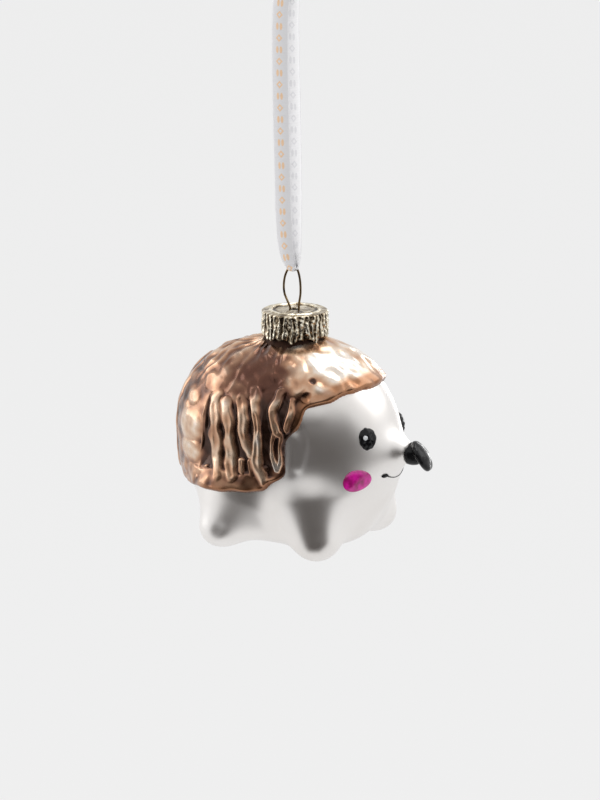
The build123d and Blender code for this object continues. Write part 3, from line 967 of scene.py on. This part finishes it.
def add_bead(name, side, place, size, lumpiness, material, ragged=0.0):
    """A dome of enamel that follows the skin; lumpiness is the height and the length of its lumps."""
    x, z = place
    half_width, half_height, proud = size
    lumps, lump_length = lumpiness
    spot = skin_from(np.array([x, 0.0, z]), side * LEFT[None])[0]
    facing = facing_of(spot[None])[0]
    level, rise = side_and_rise(facing)
    rings, spokes = 26, 64
    shares = np.sin(np.linspace(0, np.pi / 2, rings))[1:]
    share, turn = (part.ravel() for part in np.meshgrid(shares, round_turns(spokes), indexing="ij"))
    outline = 1 + 0.04 * np.sin(2 * turn + x) + 0.03 * np.sin(3 * turn + z) + ragged * (
        np.sin(7 * turn + x) + 0.8 * np.sin(11 * turn + z))
    flat = (spot + (share * outline * half_width * np.cos(turn))[:, None] * level
            + (share * outline * half_height * np.sin(turn))[:, None] * rise)
    flat = np.concatenate([spot[None], flat])
    share = np.concatenate([[0.0], share])
    skin = skin_from(flat - 6.0 * facing, np.tile(facing, (len(flat), 1)), 14.0)
    height = proud * np.sqrt(unit(1 - share**2)) - bead_rim_depth
    height += lumps * waves(skin, lump_length, 60 + int(10 * z)) * (1 - share**4)
    top = skin + height[:, None] * facing
    under = skin - bead_under_depth * facing
    faces = [(0, 1 + (place + 1) % spokes, 1 + place) for place in range(spokes)]
    faces += [tuple(corner + 1 for corner in face) for face in grid_faces(rings - 1, spokes, False, True)]
    count = len(flat)
    rim = count - spokes
    below = [tuple(count + corner for corner in reversed(face)) for face in faces]
    wall = [(rim + place, rim + (place + 1) % spokes, count + rim + (place + 1) % spokes, count + rim + place)
            for place in range(spokes)]
    piece = add_mesh(name, to_frame(np.concatenate([top, under])), faces + below + wall, material)
    face_outwards(piece)
    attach(piece, "ornament")
    return piece


for side, word in ((-1, "right"), (1, "left")):
    eye = add_bead("eye_bead_" + word, side, eye_place, eye_size, (0.20, 1.5), black, 0.022)
    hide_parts("eye_" + word)
    # painted glint: a pale dot on the eye in place of a lamp's reflection
    glint = add_bead("eye_glint_" + word, side, eye_glint_place, eye_glint_size, (0.0, 1.9), glint_paint)
    cheek = add_bead("cheek_bead_" + word, side, cheek_place, cheek_size, (0.07, 3.2), magenta)
    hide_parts("cheek_" + word)


def add_tube(name, line, radius, material, sides, rows, taper=np.ones_like):
    """A round tube along a line in the frame, with rounded-off ends."""
    points, along = evenly(line, rows)
    from_end = np.minimum(along, along[-1] - along)
    thin = np.sqrt(np.clip(1 - (1 - unit(from_end / radius)) ** 2, 0.02, 1)) * taper(along / along[-1])
    tangents = directions_along(points)
    side = np.cross(tangents[0], [0.3, 0.2, 1.0])
    rings = []
    for point, tangent, share in zip(points, tangents, thin):
        side = side - tangent * (side @ tangent)
        side /= np.linalg.norm(side)
        rings.append(point + radius * share * circle(sides, side, np.cross(tangent, side)))
    return add_mesh(name, np.concatenate(rings), tube_faces(rows, sides), material)


smile_half_width, smile_low, smile_rise = 5.0, 20.1, 1.25


def add_mouth():
    """A thin painted smile round the front of the snout."""
    shares = np.linspace(-1, 1, 61)
    starts = np.array([[20.0, share * smile_half_width, smile_low + smile_rise * share**2]
                       for share in shares])
    skin = skin_from(starts, np.tile(AHEAD, (len(shares), 1)), 20.0)
    line = to_frame(skin + 0.02 * facing_of(skin))
    smile = add_tube("mouth_line", line, 0.16 * MM, black, 10, 90,
                     lambda share: 0.55 + 0.45 * np.abs(2 * share - 1) ** 2)
    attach(smile, "ornament")


add_mouth()
# painted shade: a dark spot in the dimple at each mouth corner
for side, word in ((-1, "right"), (1, "left")):
    corner = add_bead("mouth_dimple_shade_" + word, side, mouth_dimple_shade_place, mouth_dimple_shade_size, (0.05, 1.2), black)


nose_stem_line, nose_stem_length = direction(0.0, -5.0), 2.0
nose_disc_radius, nose_disc_edge, nose_disc_crown = 4.45, 1.05, 0.8
nose_disc_line = direction(19.0, 31.0)
# distance along and radius; the disc's are shares of its edge, crown and radius
stem_profile = [(1.4, 0.0), (1.8, 1.6), (2.4, 2.8), (3.2, 3.05), (4.2, 2.9), (5.2, 2.7), (6.0, 2.5),
                (6.5, 0.0)]
disc_profile = [(edge * nose_disc_edge + crown * nose_disc_crown, wide * nose_disc_radius)
                for edge, crown, wide in [
    (-1.0, 0.0, 0.0), (-1.0, 0.0, 0.55), (-0.98, 0.0, 0.82), (-0.55, 0.0, 0.98), (0.0, 0.0, 1.02),
    (0.6, 0.0, 0.97), (1.0, 0.0, 0.80), (1.0, 0.8, 0.45), (1.0, 1.0, 0.0)]]


def turned_lump(profile, start, line, spokes=96):
    """Points and faces of a profile of (distance along, radius) turned round a line."""
    ring = circle(spokes, *side_and_rise(line))
    rows = [start + along * line + max(radius, 0.02) * ring for along, radius in profile]
    return np.concatenate(rows), tube_faces(len(rows), spokes)


def add_nose():
    """A tilted button of thick enamel, its stem and its disc melted into one lump."""
    tip = np.array(snout_tip)
    disc_place = tip + (snout_tip_radius + nose_stem_length + nose_disc_edge) * nose_stem_line
    points, faces = np.zeros((0, 3)), []
    for profile, start, line in ((stem_profile, tip, nose_stem_line),
                                 (disc_profile, disc_place, nose_disc_line)):
        smooth = evenly(spline_points([(along, radius, 0.0) for along, radius in profile], 8), 60)[0]
        part, part_faces = turned_lump(smooth[:, :2], start, line)
        faces += [tuple(corner + len(points) for corner in face) for face in part_faces]
        points = np.concatenate([points, part])
    piece = add_mesh("nose_button", to_frame(points), faces, black)
    melted = piece.modifiers.new("melted", "REMESH")
    melted.mode = "VOXEL"
    melted.voxel_size = 0.16 * MM
    ease(piece, 8)
    bpy.context.view_layer.update()
    mesh = bpy.data.meshes.new_from_object(piece.evaluated_get(bpy.context.evaluated_depsgraph_get()))
    piece.modifiers.clear()
    piece.data = mesh
    points, facing = np.zeros(len(mesh.vertices) * 3), np.zeros(len(mesh.vertices) * 3)
    mesh.vertices.foreach_get("co", points)
    mesh.vertices.foreach_get("normal", facing)
    points, facing = points.reshape(-1, 3), facing.reshape(-1, 3)
    lumpy = 0.08 * waves(points / MM, 3.6, 71) + 0.03 * waves(points / MM, 1.6, 72)
    mesh.vertices.foreach_set("co", (points + lumpy[:, None] * facing * MM).ravel())
    mesh.polygons.foreach_set("use_smooth", [True] * len(mesh.polygons))
    mesh.update()
    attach(piece, "ornament")
    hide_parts("nose")


add_nose()


# Cap: thin plate crimped into uneven flutes, with a toothed hem and a pressed ring round its hole

cap_radius, cap_sheet, cap_height = 9.0, 0.3, 7.6
cap_bend_radius, cap_bend_drop = 0.75, 0.6
cap_flutes, cap_flute_depth = 36, 0.5
cap_teeth, cap_tooth_height, cap_small_tooth_height = 8, 1.2, 0.6
cap_hole_radius, cap_ring_radius, cap_ring_height, cap_ring_width = 1.6, 6.6, 0.35, 1.1
cap_groove_radius, cap_groove_width, cap_groove_depth = 5.65, 1.0, 0.16
cap_dish_radius, cap_dish_width, cap_dish_height = 2.2, 2.4, 0.12


def hem_height(turns):
    """The hem's height round the cap: large teeth with a small one between each pair."""
    share = (turns / (2 * np.pi) * cap_teeth) % 1.0
    high, shallow = cap_tooth_height, cap_tooth_height - cap_small_tooth_height
    large = np.interp(share, [0.22, 0.5, 0.78], [high, 0.0, high])
    small = np.interp(share, [0.0, 0.12, 0.88, 1.0], [shallow, high, high, shallow])
    return cap_top - cap_height + np.minimum(large, small)


def add_cap():
    count = 432
    turns = round_turns(count)
    hem = hem_height(turns)
    flat = circle(count)
    rows, relief = [], []

    def row(radius, height, crimp, inside=0.0, ring=0.0):
        """One ring of points; crimp is the share of the full flute depth."""
        place = flat * cap_radius + UP * np.reshape(height, (-1, 1))
        wander = 2.6 * waves(place, 5.0, 81) + 1.1 * waves(place, 1.8, 82)
        flute = 0.5 + 0.5 * np.cos(cap_flutes * turns + wander)
        finer = 0.5 + 0.5 * np.cos(2.3 * cap_flutes * turns + 1.7 * wander)
        flute = 0.78 * flute + 0.22 * finer
        depth = crimp * cap_flute_depth * np.clip(0.75 + 0.6 * waves(place, 3.4, 83), 0.15, 1.3)
        grain = crimp * (0.10 * waves(place, 0.9, 84) + 0.12 * waves(place, 2.2, 86))
        reach = radius - depth * (1 - flute) + grain - inside
        rows.append(reach[:, None] * flat + UP * np.reshape(height, (-1, 1)))
        place = flat * radius + place
        mottled = 0.24 * waves(place, 4.0, 87) + 0.10 * waves(place, 0.9, 88)
        # painted shade in the creases of the flutes and painted highlight on their crests
        crimped = 0.02 + 0.85 * flute + mottled
        relief.append(unit((1 - crimp) * (0.42 + mottled) + crimp * crimped + ring))

    plate_radius, skirt_top = cap_radius - cap_bend_radius, cap_top - cap_bend_drop
    for share in np.linspace(0, 1, 46):
        radius = cap_hole_radius + share * (plate_radius - cap_hole_radius)
        ring = dome(radius - cap_ring_radius, cap_ring_width / 2)
        groove = dome(radius - cap_groove_radius, cap_groove_width / 2)
        dish = dome(radius - cap_dish_radius, cap_dish_width / 2)
        lift = cap_ring_height * ring - cap_groove_depth * groove + cap_dish_height * dish
        dents = 0.09 * waves(flat * radius, 2.6, 85) + 0.05 * waves(flat * radius, 1.0, 89)
        # the pressed ring painted paler and the groove darker, as painted highlight and painted shade
        row(radius, cap_top + lift + dents, 0.0, 0.0, 0.40 * ring - 0.40 * groove)
    for turn in np.linspace(0.12, 1, 9) * math.pi / 2:
        drop = cap_bend_drop * (1 - math.cos(turn))
        row(plate_radius + cap_bend_radius * math.sin(turn), cap_top - drop, math.sin(turn) ** 2)
    for shares, inside in ((np.linspace(0.04, 1, 44), 0.0), (np.linspace(1, 0.04, 30), cap_sheet)):
        for share in shares:
            row(cap_radius, skirt_top - share * (skirt_top - hem), 1.0, inside)
    for share in np.linspace(1, 0, 20):
        radius = cap_hole_radius + share * (cap_radius - 1.2 - cap_hole_radius)
        row(radius, cap_top - cap_sheet - 0.1, 0.0)
    points = np.concatenate(rows)
    piece = add_mesh("cap_crimped", to_frame(points), grid_faces(len(rows), count, True, True), cap_gold)
    add_values(piece, relief=np.concatenate(relief))
    face_outwards(piece)
    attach(piece, "cap")
    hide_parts("cap")


add_cap()


# Hanger: a smooth spring wire with its loop over the cap

wire_radius = 0.3
throat_height = cap_top - cap_sheet / 2
half_wire = [
    # half width, height, and how far the loop leans to the tail there
    (6.1, throat_height - 21.0, 0.0), (6.0, throat_height - 16.0, 0.0), (5.5, throat_height - 10.0, 0.0),
    (2.4, throat_height - 3.0, 0.0), (1.15, throat_height, 0.0), (1.65, cap_top + 1.8, 0.45),
    (2.60, cap_top + 4.4, 0.85), (2.45, cap_top + 8.2, 0.85), (1.55, cap_top + 10.9, 0.65),
    (0.55, cap_top + wire_loop_height + 0.25, 0.6),
]


def add_wire():
    other_half = [(-x, z, lean) for x, z, lean in reversed(half_wire)]
    line = spline_points(to_frame([(x - lean, 0.0, z) for x, z, lean in half_wire + other_half]), 16)
    piece = add_tube("hanger_wire_bent", line, wire_radius * MM, aged_brass, 16, 420)
    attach(piece, "hanger")
    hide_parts("hanger_wire")


add_wire()


# Knot over the loop, with its two cut tails

knot_radius, knot_height, knot_level = 3.4, 5.4, 1.62
tail_route = [(0.3, 0.2, 1.8), (0.8, 0.5, 4.5), (2.0, 0.9, 8.0), (2.8, 1.0, 11.2), (3.1, 0.6, 14.2)]


def add_knot():
    rays, faces = ball(6)
    points = rays * np.array([knot_radius, knot_radius * 0.8, knot_height / 2])
    slant = rays[:, 0] * 0.62 + rays[:, 2] * 0.78
    folds = 0.16 * np.sin(11 * slant) + 0.10 * np.sin(7 * (rays[:, 1] + slant))
    band = np.exp(-(slant / 0.36) ** 2)
    points = points * (0.80 + 0.17 * band + 0.055 * folds / 0.16 * (1 - 0.5 * band))[:, None]
    points[:, 2] = np.maximum(points[:, 2] + knot_level, 0.0)
    lump = add_mesh("ribbon_knot_folds", points * MM, faces, plain_satin)
    add_values(lump, face=np.ones(len(points)))
    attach(lump, "ribbon")
    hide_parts("ribbon_knot")
    tails = []
    for side, word in ((-1, "front"), (1, "back")):
        line = spline_points(np.array(tail_route) * (side * MM, side * MM, MM))
        tail = add_band("ribbon_tail_" + word, line, side, ribbon_width * 0.92, tail_cups, 60)
        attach(tail, "ribbon")
        tails.append(tail)
    return lump, tails


knot, knot_tails = add_knot()
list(knot_tails)


# Studio: pale floor and surround, soft lamps, and a dark screen and a strip light that only the glossy
# surfaces mirror

pale_grey, floor_grey = (0.855, 0.855, 0.855), (0.80, 0.80, 0.80)
floor_level, floor_reach, floor_glow, world_light = -0.34, 6.0, 0.95, 0.95


def add_world():
    nodes = Nodes(bpy.data.worlds.new("studio"))
    nodes.tree.nodes.clear()
    bpy.context.scene.world = nodes.owner
    light = nodes.set(nodes.add("Background"), {"Color": (1.0, 1.0, 1.0), "Strength": world_light})
    backdrop = nodes.set(nodes.add("Background"), {"Color": pale_grey})
    both = nodes.mix_shaders(nodes.seen(), light.outputs["Background"], backdrop.outputs["Background"])
    nodes.set(nodes.add("OutputWorld"), {"Surface": both})


def add_card(name, width, height, material):
    corners = [(-width / 2, -height / 2, 0.0), (width / 2, -height / 2, 0.0), (width / 2, height / 2, 0.0),
               (-width / 2, height / 2, 0.0)]
    return add_mesh(name, corners, [(0, 1, 2, 3)], material, smooth=False)


def add_floor():
    nodes = new_material("pale_floor")
    plain = nodes.set(nodes.shader, {"Base Color": floor_grey, "Roughness": 0.9})
    glow = nodes.set(nodes.add("Emission"), {"Color": pale_grey})
    share = nodes.math("MULTIPLY", nodes.seen(), floor_glow)
    both = nodes.mix_shaders(share, plain.outputs["BSDF"], glow.outputs["Emission"])
    nodes.set(nodes.output, {"Surface": both})
    floor = add_card("floor", 2 * floor_reach, 2 * floor_reach, nodes.owner)
    floor.location.z = floor_level


def add_lamp(name, turn, lift, distance, width, height, watts):
    data = bpy.data.lights.new(name, "AREA")
    data.shape = "RECTANGLE"
    data.size = width
    data.size_y = height
    data.energy = watts
    aim(add_object(name, data), turn, lift, distance)


def only_mirrored(piece):
    for kind in ("camera", "diffuse", "shadow", "transmission"):
        setattr(piece, "visible_" + kind, False)


def add_strip(name, turn, lift, distance, width, height, strength):
    """An upright strip light behind the ornament, only seen mirrored in its gloss."""
    nodes = new_material(name)
    glow = nodes.set(nodes.add("Emission"), {"Strength": strength})
    nodes.set(nodes.output, {"Surface": glow.outputs["Emission"]})
    strip = add_card(name, width, height, nodes.owner)
    aim(strip, turn, lift, distance)
    only_mirrored(strip)


snout_lift = -8.0


def add_shade(name, turns, lifts, distance, soft, lean, colour):
    """A curved screen round part of the ornament, thinning out at its edges, only seen mirrored."""
    nodes = new_material(name)
    material = nodes.paint({"Base Color": colour, "Roughness": 1.0, "Alpha": nodes.values("cover")})
    rows, columns = 33, 65
    lift, turn = (part.ravel() for part in np.meshgrid(
        np.linspace(*lifts, rows), np.linspace(*turns, columns), indexing="ij"))
    points = np.array(camera_target) + distance * direction(turn, lift)
    screen = add_mesh(name, points, grid_faces(rows, columns), material)
    # the side edges bow in above and below the height of the snout
    bow = lean * np.abs(lift - snout_lift)
    edge = np.minimum.reduce([turn - 0.4 * bow - turns[0], turns[1] - turn - bow, lift - lifts[0],
                              lifts[1] - lift])
    add_values(screen, cover=soft_step(edge / soft))
    only_mirrored(screen)


add_world()
add_floor()
add_lamp("key_lamp", 34.0, 40.0, 0.8, 0.75, 0.62, 1.5)
add_lamp("fill_lamp", -165.0, 20.0, 0.9, 0.6, 0.7, 2.2)
add_lamp("top_lamp", 60.0, 78.0, 0.8, 0.5, 0.5, 2.0)
add_strip("strip_light", 91.0, 6.0, 0.6, 0.06, 0.42, 5.0)
add_shade("dark_side", (-134.0, 2.0), (-61.0, 34.0), 0.245, 23.0, 0.95, (0.020, 0.012, 0.008))

scene = bpy.context.scene
scene.view_settings.view_transform = "Standard"
